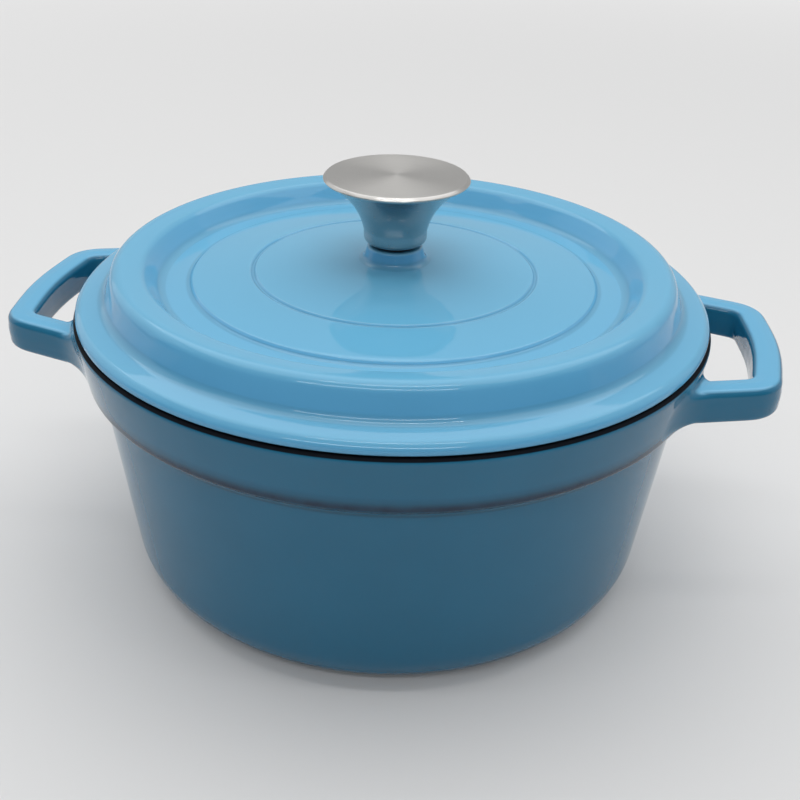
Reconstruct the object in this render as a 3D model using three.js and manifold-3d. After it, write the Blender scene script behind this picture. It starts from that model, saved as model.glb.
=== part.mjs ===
// A round dutch oven: an enamelled cast iron pot with two loop handles, and a lid with a
// stainless steel knob held by a screw from below. Millimetres, +Z up, the handles along X.
// The origin is the middle of the base, on the surface that the pot stands on.
import * as THREE from 'three';
import { mergeVertices } from 'three/addons/utils/BufferGeometryUtils.js';
import Module from 'manifold-3d';

const wasm = await Module();
wasm.setup();

// ---- Driving dimensions ------------------------------------------------------------------

// Clearances
const SEAT_GAP = 0.3;          // between pieces that touch
const SPIGOT_CLEARANCE = 1.0;  // lid's locating ring inside the pot's mouth, on the radius
const BORE_CLEARANCE = 0.4;    // screw in the holes it passes through, on the radius

// Pot
const MOUTH_RADIUS = 120.0;    // inside the rim
const RIM_WIDTH = 6.5;         // flat top of the rim, from mouth to outer edge
const POT_HEIGHT = 113.6;
const WALL = 3.6;
const BASE_THICKNESS = 4.6;
const BAND_HEIGHT = 22.1;      // thick band under the rim
const BAND_DRAFT = 4.0;        // radius lost from the rim to the foot of the band
const BAND_STEP = 5.0;         // how far the band stands out from the wall
const BAND_COVE = 3.6;         // height of the slope under the band
const WALL_DRAFT = 12.2;       // radius lost from the band to the base
const HEEL_RADIUS = 20.8;      // outside fillet between wall and base
const MOUTH_DRAFT = 0.7;       // radius lost inside the band
const RIM_EDGE = 1.0;          // rounding of the rim's edges

// Loop handles
const HANDLE_REACH = 27.5;     // how far a handle stands out from the rim
const HANDLE_HALF_WIDTH = 46.0;
const HANDLE_THICKNESS = 12.5;
const HANDLE_DROP = 5.1;       // handle's top face below the rim
const HANDLE_BAR = 11.2;       // width of the grip across its front
const HANDLE_ARM = 12.0;       // width of each arm
const HANDLE_TAPER = 7.5;      // half width lost from root to front corner
const HANDLE_BOW = 4.4;        // how far the front bows out past its corners
const HANDLE_CORNER = 17.0;    // outer corner radius
const HANDLE_FLARE = 10.0;     // arm's spread where it meets the band
const HANDLE_EDGE = 2.6;       // rounding of the handle's edges

// Lid, from its edge inwards
const LID_INSET = 1.5;         // lid's edge inside the rim's edge
const LID_WALL = 3.8;
const FLANGE_THICKNESS = 4.5;
const FLANGE_WIDTH = 11.2;
const FLANGE_RISE = 1.8;       // flange's top slopes up to the ring
const RING_HEIGHT = 18.7;      // top of the raised ring above the seat
const RING_SLOPE = 3.8;        // ring's outer wall leans in by this much
const RING_TOP_WIDTH = 11.5;
const RING_INNER_SLOPE = 6.2;  // ring's inner wall leans in by this much
const MOAT_WIDTH = 12.6;
const MOAT_HEIGHT = 8.8;       // moat's floor above the seat
const MOAT_RISE = 1.2;         // moat's floor rises towards the middle
const DISC_STEP = 1.4;         // step up from the moat to the outer disc
const PANEL_WIDTH = 22.5;      // outer disc, from its edge to the groove
const PANEL_RISE = 2.1;
const GROOVE_WIDTH = 2.2;
const GROOVE_DEPTH = 0.8;
const CENTRE_RISE = 4.2;       // middle of the lid above the groove
const BOSS_RADIUS = 10.8;
const BOSS_FOOT = 1.6;         // boss widens by this much to its foot
const BOSS_HEIGHT = 5.6;
const SPIGOT_DEPTH = 6.0;      // locating ring below the seat
const SPIGOT_WIDTH = 4.0;
const SCREW_PAD_RADIUS = 12.0; // flat pad for the washers, under the lid's middle
const SCREW_PAD_HEIGHT = 1.4;

// Knob
const KNOB_RADIUS = 28.5;      // edge of the cap
const KNOB_HEIGHT = 27.3;      // from the gasket to the top of the cap
const KNOB_NECK_RADIUS = 12.0;
const KNOB_FOOT_RADIUS = 8.6;  // flat foot on the gasket
const KNOB_FOOT_HEIGHT = 2.6;  // height of the rounded foot
const KNOB_WALL = 1.2;
const KNOB_LIP = 1.7;          // shell's top edge inside the cap's edge
const CAP_THICKNESS = 2.2;
const CAP_BEVEL = 1.1;
const CAP_PLUG = 2.4;          // depth of the ring that centres the cap in the shell
const CAP_PLUG_WALL = 1.6;
const INSERT_RADIUS = 7.0;
const INSERT_HEIGHT = 15.0;
const GASKET_THICKNESS = 0.8;
const GASKET_RADIUS = 9.6;

// Screw and washers
const SCREW_RADIUS = 3.0;
const SCREW_ENGAGEMENT = 9.0;  // length of screw inside the insert
const SCREW_HEAD_RADIUS = 5.8;
const SCREW_HEAD_HEIGHT = 4.0;
const RECESS_WIDTH = 1.3;      // arms of the cross recess
const RECESS_LENGTH = 6.4;
const RECESS_DEPTH = 2.0;
const FLAT_WASHER_RADIUS = 9.0;
const FLAT_WASHER_THICKNESS = 1.4;
const SPRING_WASHER_RADIUS = 5.6;
const SPRING_WASHER_THICKNESS = 1.6;
const SPRING_WASHER_SPLIT = 1.4;

// Facets
const LARGE_ROUND = 40;        // sides of the pot and the lid
const KNOB_ROUND = 32;         // sides of the knob's shell and cap
const SMALL_ROUND = 20;        // sides of the insert, washers and screw
const ARC_STEP = Math.PI / 6;  // angle between points of a rounded corner

// ---- Heights and radii that follow ---------------------------------------------------------

const RIM_RADIUS = MOUTH_RADIUS + RIM_WIDTH;
const BAND_FOOT_Z = POT_HEIGHT - BAND_HEIGHT;
const BAND_FOOT_RADIUS = RIM_RADIUS - BAND_DRAFT;
const WALL_TOP_RADIUS = BAND_FOOT_RADIUS - BAND_STEP;
const WALL_TOP_Z = BAND_FOOT_Z - BAND_COVE;
const WALL_FOOT_RADIUS = WALL_TOP_RADIUS - WALL_DRAFT;

const SEAT_Z = POT_HEIGHT + SEAT_GAP;
const LID_RADIUS = RIM_RADIUS - LID_INSET;
const RING_OUTER_RADIUS = LID_RADIUS - FLANGE_WIDTH;
const RING_TOP_OUTER = RING_OUTER_RADIUS - RING_SLOPE;
const RING_TOP_INNER = RING_TOP_OUTER - RING_TOP_WIDTH;
const MOAT_OUTER_RADIUS = RING_TOP_INNER - RING_INNER_SLOPE;
const DISC_RADIUS = MOAT_OUTER_RADIUS - MOAT_WIDTH;
const GROOVE_OUTER_RADIUS = DISC_RADIUS - PANEL_WIDTH;
const GROOVE_INNER_RADIUS = GROOVE_OUTER_RADIUS - GROOVE_WIDTH;
const BOSS_FOOT_RADIUS = BOSS_RADIUS + BOSS_FOOT;

const FLANGE_Z = SEAT_Z + FLANGE_THICKNESS;
const RING_Z = SEAT_Z + RING_HEIGHT;
const MOAT_Z = SEAT_Z + MOAT_HEIGHT;
const DISC_Z = MOAT_Z + MOAT_RISE + DISC_STEP;
const PANEL_Z = DISC_Z + PANEL_RISE;
const CENTRE_Z = PANEL_Z + CENTRE_RISE;
const BOSS_Z = CENTRE_Z + BOSS_HEIGHT;
const SCREW_PAD_Z = CENTRE_Z - LID_WALL - SCREW_PAD_HEIGHT;

const HOLE_RADIUS = SCREW_RADIUS + BORE_CLEARANCE;
const GASKET_Z = BOSS_Z + SEAT_GAP;
const KNOB_Z = GASKET_Z + GASKET_THICKNESS + SEAT_GAP;
const KNOB_TOP_Z = KNOB_Z + KNOB_HEIGHT;
const CAP_Z = KNOB_TOP_Z - CAP_THICKNESS;
const SHELL_TOP_Z = CAP_Z - SEAT_GAP;
const SHELL_TOP_RADIUS = KNOB_RADIUS - KNOB_LIP;
const INSERT_Z = KNOB_Z + KNOB_WALL + SEAT_GAP;
const FLAT_WASHER_TOP_Z = SCREW_PAD_Z - SEAT_GAP;
const SPRING_WASHER_TOP_Z = FLAT_WASHER_TOP_Z - FLAT_WASHER_THICKNESS - SEAT_GAP;
const SCREW_HEAD_TOP_Z = SPRING_WASHER_TOP_Z - SPRING_WASHER_THICKNESS - SEAT_GAP;

// ---- Geometry helpers ------------------------------------------------------------------------

// An outline through corners [x, y, radius], each rounded by an arc of that radius, or of the
// largest one that its two sides allow. A corner with no radius stays sharp.
function roundedOutline(corners) {
  const points = [];
  const count = corners.length;
  corners.forEach(([x, y, radius = 0], index) => {
    const corner = new THREE.Vector2(x, y);
    if (radius === 0) {
      points.push(corner);
      return;
    }
    const before = new THREE.Vector2(...corners[(index + count - 1) % count].slice(0, 2)).sub(corner);
    const after = new THREE.Vector2(...corners[(index + 1) % count].slice(0, 2)).sub(corner);
    const reach = 0.49 * Math.min(before.length(), after.length());
    before.normalize();
    after.normalize();
    const halfAngle = Math.acos(THREE.MathUtils.clamp(before.dot(after), -1, 1)) / 2;
    const tangent = Math.min(radius / Math.tan(halfAngle), reach);
    const fitted = tangent * Math.tan(halfAngle);
    const middle = before.clone().add(after).normalize().multiplyScalar(fitted / Math.sin(halfAngle));
    const centre = corner.clone().add(middle);
    const from = corner.clone().addScaledVector(before, tangent).sub(centre);
    const turn = Math.PI - 2 * halfAngle;
    const side = Math.sign(before.cross(after));
    const steps = Math.max(1, Math.round(turn / ARC_STEP));
    for (let step = 0; step <= steps; step += 1) {
      const point = from.clone().rotateAround(new THREE.Vector2(), -side * turn * step / steps);
      points.push(point.add(centre));
    }
  });
  return points;
}

// A solid of revolution about Z. The outline is closed, and runs up its outer side.
function revolve(outline, sides) {
  const geometry = new THREE.LatheGeometry([...outline, outline[0]], sides);
  geometry.rotateX(Math.PI / 2);
  return geometry;
}

// A plate of the given outline between two heights, with its edges rounded.
function plate(shape, bottom, thickness, edge) {
  const geometry = new THREE.ExtrudeGeometry(shape, {
    depth: thickness - 2 * edge,
    bevelEnabled: edge > 0,
    bevelThickness: edge,
    bevelSize: edge,
    bevelOffset: -edge,
    bevelSegments: 2,
    curveSegments: 6,
  });
  geometry.translate(0, 0, bottom + edge);
  return geometry;
}

// A three.js geometry as a manifold solid, and back. Triangles that closed up to a line at the
// axis are left out.
function toSolid(geometry) {
  const bare = geometry.clone();
  bare.deleteAttribute('normal');
  bare.deleteAttribute('uv');
  const merged = mergeVertices(bare, 1e-4);
  const index = Array.from(merged.index.array);
  const triangles = [];
  for (let i = 0; i < index.length; i += 3) {
    const [a, b, c] = index.slice(i, i + 3);
    if (a !== b && b !== c && c !== a) {
      triangles.push(a, b, c);
    }
  }
  return new wasm.Manifold(new wasm.Mesh({
    numProp: 3,
    vertProperties: new Float32Array(merged.attributes.position.array),
    triVerts: new Uint32Array(triangles),
  }));
}

function toGeometry(solid) {
  const mesh = solid.getMesh();
  const geometry = new THREE.BufferGeometry();
  geometry.setAttribute('position', new THREE.BufferAttribute(new Float32Array(mesh.vertProperties), 3));
  geometry.setIndex(new THREE.BufferAttribute(new Uint32Array(mesh.triVerts), 1));
  geometry.computeVertexNormals();
  return geometry;
}

// A flat ring between two radii and two heights.
function ring(inner, outer, bottom, top, sides) {
  return revolve(roundedOutline([
    [inner, bottom],
    [outer, bottom],
    [outer, top],
    [inner, top],
  ]), sides);
}

// ---- Pot -------------------------------------------------------------------------------------

// The corners of one half of an outline, then their mirror images across the X axis.
function mirrored(corners) {
  const other = corners.map(([x, y, radius]) => [x, -y, radius]).reverse();
  return [...corners, ...other];
}

// One loop handle, pointing along +X: a U in plan, whose arms run into the band and stop
// inside the wall.
function handleSolid() {
  const insideRadius = MOUTH_RADIUS + RIM_WIDTH / 4;
  const rootY = HANDLE_HALF_WIDTH + HANDLE_FLARE;
  const rootX = Math.sqrt(insideRadius ** 2 - rootY ** 2);
  const bandX = Math.sqrt(RIM_RADIUS ** 2 - HANDLE_HALF_WIDTH ** 2) + 0.8 * HANDLE_FLARE;
  const frontX = RIM_RADIUS + HANDLE_REACH;
  const cornerX = frontX - HANDLE_BOW;
  const cornerY = HANDLE_HALF_WIDTH - HANDLE_TAPER;
  const innerFront = frontX - HANDLE_BAR;
  const innerRootY = HANDLE_HALF_WIDTH - HANDLE_ARM;
  const innerCornerY = cornerY - HANDLE_ARM * 0.75;
  const bowRadius = 4 * HANDLE_HALF_WIDTH;
  const outer = mirrored([
    [rootX, -rootY],
    [bandX, -HANDLE_HALF_WIDTH, HANDLE_CORNER],
    [cornerX, -cornerY, HANDLE_CORNER],
    [frontX, -cornerY / 4, bowRadius],
  ]);
  const inner = mirrored([
    [rootX, innerRootY],
    [bandX, innerRootY],
    [innerFront - HANDLE_BOW / 2, innerCornerY, HANDLE_CORNER / 2],
    [innerFront, innerCornerY / 4, bowRadius],
  ]);
  const outline = new THREE.Shape(roundedOutline([...outer, ...inner]));
  const bottom = POT_HEIGHT - HANDLE_DROP - HANDLE_THICKNESS;
  const loop = toSolid(plate(outline, bottom, HANDLE_THICKNESS, HANDLE_EDGE));
  const inside = ring(0, insideRadius, bottom - HANDLE_EDGE, POT_HEIGHT, LARGE_ROUND);
  return loop.subtract(toSolid(inside));
}

function potGeometry() {
  const innerFootRadius = WALL_FOOT_RADIUS - WALL;
  const innerHeel = HEEL_RADIUS - WALL;
  const body = revolve(roundedOutline([
    [0, 0],
    [WALL_FOOT_RADIUS, 0, HEEL_RADIUS],
    [WALL_TOP_RADIUS, WALL_TOP_Z, BAND_COVE],
    [BAND_FOOT_RADIUS, BAND_FOOT_Z, BAND_COVE],
    [RIM_RADIUS, POT_HEIGHT, RIM_EDGE],
    [MOUTH_RADIUS, POT_HEIGHT, RIM_EDGE],
    [MOUTH_RADIUS - MOUTH_DRAFT, BAND_FOOT_Z + BAND_COVE, BAND_COVE],
    [WALL_TOP_RADIUS - WALL, WALL_TOP_Z - BAND_COVE, BAND_COVE],
    [innerFootRadius, BASE_THICKNESS, innerHeel],
    [0, BASE_THICKNESS],
  ]), LARGE_ROUND);
  const handle = handleSolid();
  return toGeometry(toSolid(body).add(handle).add(handle.rotate([0, 0, 180])));
}

// ---- Lid -------------------------------------------------------------------------------------

function lidGeometry() {
  const spigotRadius = MOUTH_RADIUS - SPIGOT_CLEARANCE;
  const spigotInner = spigotRadius - SPIGOT_WIDTH;
  const ringUnderZ = RING_Z - LID_WALL;
  const moatUnderZ = MOAT_Z - LID_WALL;
  const moatMiddle = (MOAT_OUTER_RADIUS + DISC_RADIUS) / 2;
  return revolve(roundedOutline([
    // underside, from the screw hole out to the edge
    [HOLE_RADIUS, SCREW_PAD_Z],
    [SCREW_PAD_RADIUS, SCREW_PAD_Z, SCREW_PAD_HEIGHT / 2],
    [SCREW_PAD_RADIUS + SCREW_PAD_HEIGHT, CENTRE_Z - LID_WALL, SCREW_PAD_HEIGHT / 2],
    [GROOVE_INNER_RADIUS, PANEL_Z - LID_WALL],
    [DISC_RADIUS, DISC_Z - LID_WALL, LID_WALL],
    [moatMiddle, moatUnderZ, LID_WALL],
    [MOAT_OUTER_RADIUS + LID_WALL / 2, moatUnderZ, LID_WALL],
    [RING_TOP_INNER + LID_WALL / 2, ringUnderZ, LID_WALL / 2],
    [RING_TOP_OUTER - LID_WALL / 2, ringUnderZ, LID_WALL / 2],
    [RING_OUTER_RADIUS - LID_WALL, SEAT_Z, LID_WALL],
    [spigotInner, SEAT_Z - SPIGOT_DEPTH, RIM_EDGE],
    [spigotRadius, SEAT_Z - SPIGOT_DEPTH, RIM_EDGE],
    [spigotRadius, SEAT_Z],
    // edge and flange
    [LID_RADIUS, SEAT_Z, FLANGE_THICKNESS / 3],
    [LID_RADIUS, FLANGE_Z, FLANGE_THICKNESS / 2],
    [RING_OUTER_RADIUS, FLANGE_Z + FLANGE_RISE, LID_WALL],
    // raised ring
    [RING_TOP_OUTER, RING_Z, LID_WALL],
    [RING_TOP_INNER, RING_Z - DISC_STEP, LID_WALL],
    // moat and stepped discs
    [MOAT_OUTER_RADIUS, MOAT_Z, LID_WALL],
    [DISC_RADIUS + DISC_STEP, MOAT_Z + MOAT_RISE],
    [DISC_RADIUS, DISC_Z],
    [GROOVE_OUTER_RADIUS, PANEL_Z],
    [GROOVE_OUTER_RADIUS - GROOVE_WIDTH / 3, PANEL_Z - GROOVE_DEPTH],
    [GROOVE_INNER_RADIUS + GROOVE_WIDTH / 3, PANEL_Z - GROOVE_DEPTH],
    [GROOVE_INNER_RADIUS, PANEL_Z + GROOVE_DEPTH / 4],
    [BOSS_FOOT_RADIUS, CENTRE_Z, BOSS_FOOT],
    // boss
    [BOSS_RADIUS, BOSS_Z, RIM_EDGE],
    [HOLE_RADIUS, BOSS_Z],
  ]), LARGE_ROUND);
}

// ---- Knob ------------------------------------------------------------------------------------

// The shell's radius at a share of the height of its flare, from 0 at the neck to 1 at the lip:
// a straight part and a steeper part that takes over near the lip.
function flareRadius(share, neck, lip) {
  return neck + (lip - neck) * (0.35 * share + 0.65 * share ** 2.5);
}

function knobShellGeometry() {
  const flareSteps = 7;
  const neckZ = KNOB_Z + KNOB_FOOT_HEIGHT;
  const flare = [];
  for (let step = 0; step <= flareSteps; step += 1) {
    const share = step / flareSteps;
    const radius = flareRadius(share, KNOB_NECK_RADIUS, SHELL_TOP_RADIUS);
    flare.push([radius, THREE.MathUtils.lerp(neckZ, SHELL_TOP_Z, share)]);
  }
  const inside = flare.slice(0, -1).map(([radius, z]) => [radius - KNOB_WALL, z]).reverse();
  const floorZ = KNOB_Z + KNOB_WALL;
  return revolve(roundedOutline([
    [HOLE_RADIUS, KNOB_Z],
    [KNOB_FOOT_RADIUS, KNOB_Z],
    [KNOB_NECK_RADIUS - KNOB_WALL / 2, KNOB_Z + KNOB_FOOT_HEIGHT / 2],
    ...flare,
    [SHELL_TOP_RADIUS - KNOB_WALL, SHELL_TOP_Z],
    ...inside,
    [KNOB_FOOT_RADIUS, floorZ],
    [HOLE_RADIUS, floorZ],
  ]), KNOB_ROUND);
}

function knobCapGeometry() {
  const plugZ = CAP_Z - SEAT_GAP - CAP_PLUG;
  const share = 1 - (SHELL_TOP_Z - plugZ) / (SHELL_TOP_Z - KNOB_Z - KNOB_FOOT_HEIGHT);
  const shellInside = flareRadius(share, KNOB_NECK_RADIUS, SHELL_TOP_RADIUS) - KNOB_WALL;
  const plugRadius = shellInside - 2 * SEAT_GAP;
  return revolve(roundedOutline([
    [0, CAP_Z],
    [plugRadius - CAP_PLUG_WALL, CAP_Z],
    [plugRadius - CAP_PLUG_WALL, plugZ],
    [plugRadius, plugZ],
    [plugRadius, CAP_Z],
    [KNOB_RADIUS - CAP_BEVEL / 2, CAP_Z],
    [KNOB_RADIUS, CAP_Z + CAP_BEVEL / 2],
    [KNOB_RADIUS, KNOB_TOP_Z - CAP_BEVEL],
    [KNOB_RADIUS - CAP_BEVEL, KNOB_TOP_Z],
    [0, KNOB_TOP_Z],
  ]), KNOB_ROUND);
}

function knobInsertGeometry() {
  const boreTop = INSERT_Z + SCREW_ENGAGEMENT + SCREW_RADIUS;
  const top = INSERT_Z + INSERT_HEIGHT;
  return revolve(roundedOutline([
    [HOLE_RADIUS, INSERT_Z],
    [INSERT_RADIUS, INSERT_Z],
    [INSERT_RADIUS, top],
    [0, top],
    [0, boreTop],
    [HOLE_RADIUS, boreTop],
  ]), SMALL_ROUND);
}

// ---- Screw and washers -----------------------------------------------------------------------

function screwGeometry() {
  const headBottom = SCREW_HEAD_TOP_Z - SCREW_HEAD_HEIGHT;
  const tip = INSERT_Z + SCREW_ENGAGEMENT;
  const screw = toSolid(revolve(roundedOutline([
    [0, headBottom],
    [SCREW_HEAD_RADIUS, headBottom, SCREW_HEAD_HEIGHT * 0.6],
    [SCREW_HEAD_RADIUS, SCREW_HEAD_TOP_Z],
    [SCREW_RADIUS, SCREW_HEAD_TOP_Z],
    [SCREW_RADIUS, tip - SCREW_RADIUS / 3],
    [SCREW_RADIUS * 2 / 3, tip],
    [0, tip],
  ]), SMALL_ROUND));
  const arm = new THREE.BoxGeometry(RECESS_LENGTH, RECESS_WIDTH, 2 * RECESS_DEPTH);
  arm.translate(0, 0, headBottom);
  const armSolid = toSolid(arm);
  return toGeometry(screw.subtract(armSolid).subtract(armSolid.rotate([0, 0, 90])));
}

function springWasherGeometry() {
  const bottom = SPRING_WASHER_TOP_Z - SPRING_WASHER_THICKNESS;
  const middle = bottom + SPRING_WASHER_THICKNESS / 2;
  const reach = 2 * SPRING_WASHER_RADIUS;
  const height = 4 * SPRING_WASHER_THICKNESS;
  const whole = ring(HOLE_RADIUS, SPRING_WASHER_RADIUS, bottom, SPRING_WASHER_TOP_Z, SMALL_ROUND);
  const split = new THREE.BoxGeometry(reach, SPRING_WASHER_SPLIT, height);
  split.rotateX(Math.PI / 6);
  split.translate(SPRING_WASHER_RADIUS, 0, middle);
  return toGeometry(toSolid(whole).subtract(toSolid(split)));
}

// ---- Assembly --------------------------------------------------------------------------------

const FINISHES = {
  blueEnamel: { color: 0x5fa8d2, roughness: 0.12, metalness: 0.0 },
  spunSteel: { color: 0xa9a9a6, roughness: 0.32, metalness: 1.0 },
  polishedSteel: { color: 0x9aa2a8, roughness: 0.12, metalness: 1.0 },
  zincSteel: { color: 0xb4b6b8, roughness: 0.35, metalness: 1.0 },
  blackRubber: { color: 0x16181a, roughness: 0.7, metalness: 0.0 },
};

const PIECES = [
  ['pot', potGeometry(), 'blueEnamel'],
  ['lid', lidGeometry(), 'blueEnamel'],
  ['knob_shell', knobShellGeometry(), 'polishedSteel'],
  ['knob_cap', knobCapGeometry(), 'spunSteel'],
  ['knob_insert', knobInsertGeometry(), 'zincSteel'],
  ['knob_gasket', ring(HOLE_RADIUS, GASKET_RADIUS, GASKET_Z, GASKET_Z + GASKET_THICKNESS, SMALL_ROUND),
    'blackRubber'],
  ['lid_screw', screwGeometry(), 'zincSteel'],
  ['flat_washer', ring(HOLE_RADIUS, FLAT_WASHER_RADIUS, FLAT_WASHER_TOP_Z - FLAT_WASHER_THICKNESS,
    FLAT_WASHER_TOP_Z, SMALL_ROUND), 'zincSteel'],
  ['spring_washer', springWasherGeometry(), 'zincSteel'],
];

const dutchOven = new THREE.Group();
for (const [name, geometry, finish] of PIECES) {
  const mesh = new THREE.Mesh(geometry, new THREE.MeshStandardMaterial(FINISHES[finish]));
  mesh.name = name;
  dutchOven.add(mesh);
}

export default dutchOven;
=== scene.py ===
"""The looks of a round enamelled dutch oven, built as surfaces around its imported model.

Sizes are millimetres and Blender's objects metres. +Z is up, the handles lie along X, and the
origin is the middle of the base, on the surface that the pot stands on.
"""

from __future__ import annotations

import logging
import math
from dataclasses import dataclass, field
from enum import Enum
from typing import Sequence, TypeAlias

import bpy
import numpy as np
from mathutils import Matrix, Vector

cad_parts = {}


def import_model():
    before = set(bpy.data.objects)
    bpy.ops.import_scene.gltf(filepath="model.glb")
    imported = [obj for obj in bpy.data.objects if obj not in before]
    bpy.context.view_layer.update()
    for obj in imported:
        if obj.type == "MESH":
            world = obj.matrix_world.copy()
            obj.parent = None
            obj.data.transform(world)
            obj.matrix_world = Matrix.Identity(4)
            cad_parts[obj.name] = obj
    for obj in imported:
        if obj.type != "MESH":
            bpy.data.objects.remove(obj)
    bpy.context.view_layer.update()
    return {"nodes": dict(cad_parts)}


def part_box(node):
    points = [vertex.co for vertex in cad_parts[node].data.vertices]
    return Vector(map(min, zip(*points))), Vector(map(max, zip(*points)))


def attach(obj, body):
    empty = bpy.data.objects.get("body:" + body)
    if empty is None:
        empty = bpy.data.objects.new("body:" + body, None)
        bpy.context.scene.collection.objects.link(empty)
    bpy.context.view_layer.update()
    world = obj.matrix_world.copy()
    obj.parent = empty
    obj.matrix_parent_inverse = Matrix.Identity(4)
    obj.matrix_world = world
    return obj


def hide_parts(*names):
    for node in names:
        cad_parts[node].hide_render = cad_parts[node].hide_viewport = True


LOG = logging.getLogger("dutch_oven")
MM = 0.001


class Body(Enum):
    """The bodies that move on their own."""

    POT = "pot"
    LID = "lid"


class Slot(Enum):
    """The record's material slots."""

    BLUE_ENAMEL = "blue_enamel"
    POLISHED_STEEL = "polished_steel"
    SPUN_STEEL = "spun_steel"
    PLATED_STEEL = "plated_steel"
    BLACK_RUBBER = "black_rubber"


class Mark(Enum):
    """Numbers that a surface carries at each point for its finish to read."""

    BLACK = "black"  # 1 where the matt black coat is
    PALE = "pale"  # 1 where the pale inside coat is
    THIN = "thin"  # 1 on the dark band at the pot's step: a thinner coat over the band's foot, and painted shade under the band
    BEND = "bend"  # signed curvature, per mm: above 0 on an edge, below 0 in a hollow
    UP = "up"  # upward part of the unit normal: 1 where the surface faces straight up; the enamel paints light by it


# ---- Outlines ------------------------------------------------------------------------------


@dataclass(frozen=True)
class Corner:
    """A corner of an outline in mm: distance from the axis, height, and radius of its round."""

    r: float
    z: float
    fillet: float = 0.05


def rounded(corners: Sequence[Corner], closed: bool) -> np.ndarray:
    """Rounds the corners of a polygon with arcs.

    At a corner with half angle h between its sides, an arc of radius f touches them at f / tan h
    from the corner, about a centre at f / sin h along the bisector.

    Args:
        corners: the corners in order.
        closed: whether the last corner joins the first.

    Returns:
        The outline's points, (n, 2).
    """
    places = np.array([[c.r, c.z] for c in corners])
    count = len(corners)
    parts = []
    for index, corner in enumerate(corners):
        here = places[index]
        if not closed and index in (0, count - 1):
            parts.append(here[None])
            continue
        before = places[index - 1] - here
        after = places[(index + 1) % count] - here
        reach = 0.49 * min(np.linalg.norm(before), np.linalg.norm(after))
        before, after = before / np.linalg.norm(before), after / np.linalg.norm(after)
        half = math.acos(float(np.clip(before @ after, -1, 1))) / 2
        touch = min(corner.fillet / math.tan(half), reach)
        radius = touch * math.tan(half)
        bisector = (before + after) / np.linalg.norm(before + after)
        centre = here + bisector * radius / math.sin(half)
        turn = math.pi - 2 * half
        side = -np.sign(before[0] * after[1] - before[1] * after[0])
        angles = side * np.linspace(0, turn, max(3, int(turn / 0.06)))
        arm = here + before * touch - centre
        cos, sin = np.cos(angles), np.sin(angles)
        turned = np.stack([arm[0] * cos - arm[1] * sin, arm[0] * sin + arm[1] * cos], 1)
        parts.append(centre + turned)
    return np.concatenate(parts)


@dataclass
class Outline:
    """A smooth outline, evenly or adaptively spaced, with its signed curvature."""

    points: np.ndarray
    bend: np.ndarray
    closed: bool

    @classmethod
    def eased(
        cls, corners: Sequence[Corner], closed: bool, spread: float, spacing: float = 0.1
    ) -> Outline:
        """Rounds a polygon and eases the ends of its arcs, as a coat of enamel does.

        The outline is resampled by its length and convolved with a bell curve. An open outline
        starts and ends on the axis, where it goes on as its own mirror image.

        Args:
            corners: the polygon, which runs out along its foot and up its outer side.
            closed: whether the last corner joins the first.
            spread: standard deviation of the bell curve, mm.
            spacing: step of the outline, mm.

        Returns:
            The eased outline, evenly spaced.
        """
        rough = rounded(corners, closed)
        if closed:
            rough = np.concatenate([rough, rough[:1]])
        steps = np.hypot(*np.diff(rough, axis=0).T)
        length = np.concatenate([[0], np.cumsum(steps)])
        count = int(round(length[-1] / spacing))
        at = np.linspace(0, length[-1], count + 1)
        even = np.stack([np.interp(at, length, rough[:, k]) for k in (0, 1)], 1)
        pad = int(math.ceil(4 * spread / spacing)) + 2
        if closed:
            wide = np.pad(even[:-1], ((pad, pad + 1), (0, 0)), mode="wrap")
        else:
            wide = np.pad(even, ((pad, pad), (0, 0)), mode="reflect")
            wide[:pad, 0] *= -1
            wide[-pad:, 0] *= -1
        reach = pad - 2
        bell = np.exp(-0.5 * (np.arange(-reach, reach + 1) * spacing / spread) ** 2)
        bell /= bell.sum()
        soft = np.stack([np.convolve(wide[:, k], bell, mode="valid") for k in (0, 1)], 1)
        ahead = np.gradient(soft, axis=0)
        heading = np.unwrap(np.arctan2(ahead[:, 1], ahead[:, 0]))
        bend = np.gradient(heading) / np.hypot(*ahead.T)
        return cls(soft[2:-2], bend[2:-2], closed)

    def picked(self, coarse: float, turn: float, extra: np.ndarray | None = None) -> Outline:
        """Keeps few points on straight stretches and more on bends.

        Args:
            coarse: longest step, mm.
            turn: most that the direction changes in one step, radians.
            extra: points per mm to add at each point.

        Returns:
            The outline through the kept points.
        """
        density = 1 / coarse + np.abs(self.bend) / turn
        if extra is not None:
            density = density + extra
        points = self.points
        steps = np.hypot(*np.diff(points, axis=0).T)
        total = np.concatenate([[0], np.cumsum(steps * (density[1:] + density[:-1]) / 2)])
        count = int(math.ceil(total[-1]))
        at = np.linspace(0, total[-1], count + 1)
        if self.closed:
            at = at[:-1]
        kept = np.stack([np.interp(at, total, points[:, k]) for k in (0, 1)], 1)
        return Outline(kept, np.interp(at, total, self.bend), self.closed)

    def scaled(self) -> np.ndarray:
        """The outline's points in metres."""
        return self.points * MM


# ---- Surfaces ------------------------------------------------------------------------------


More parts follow.
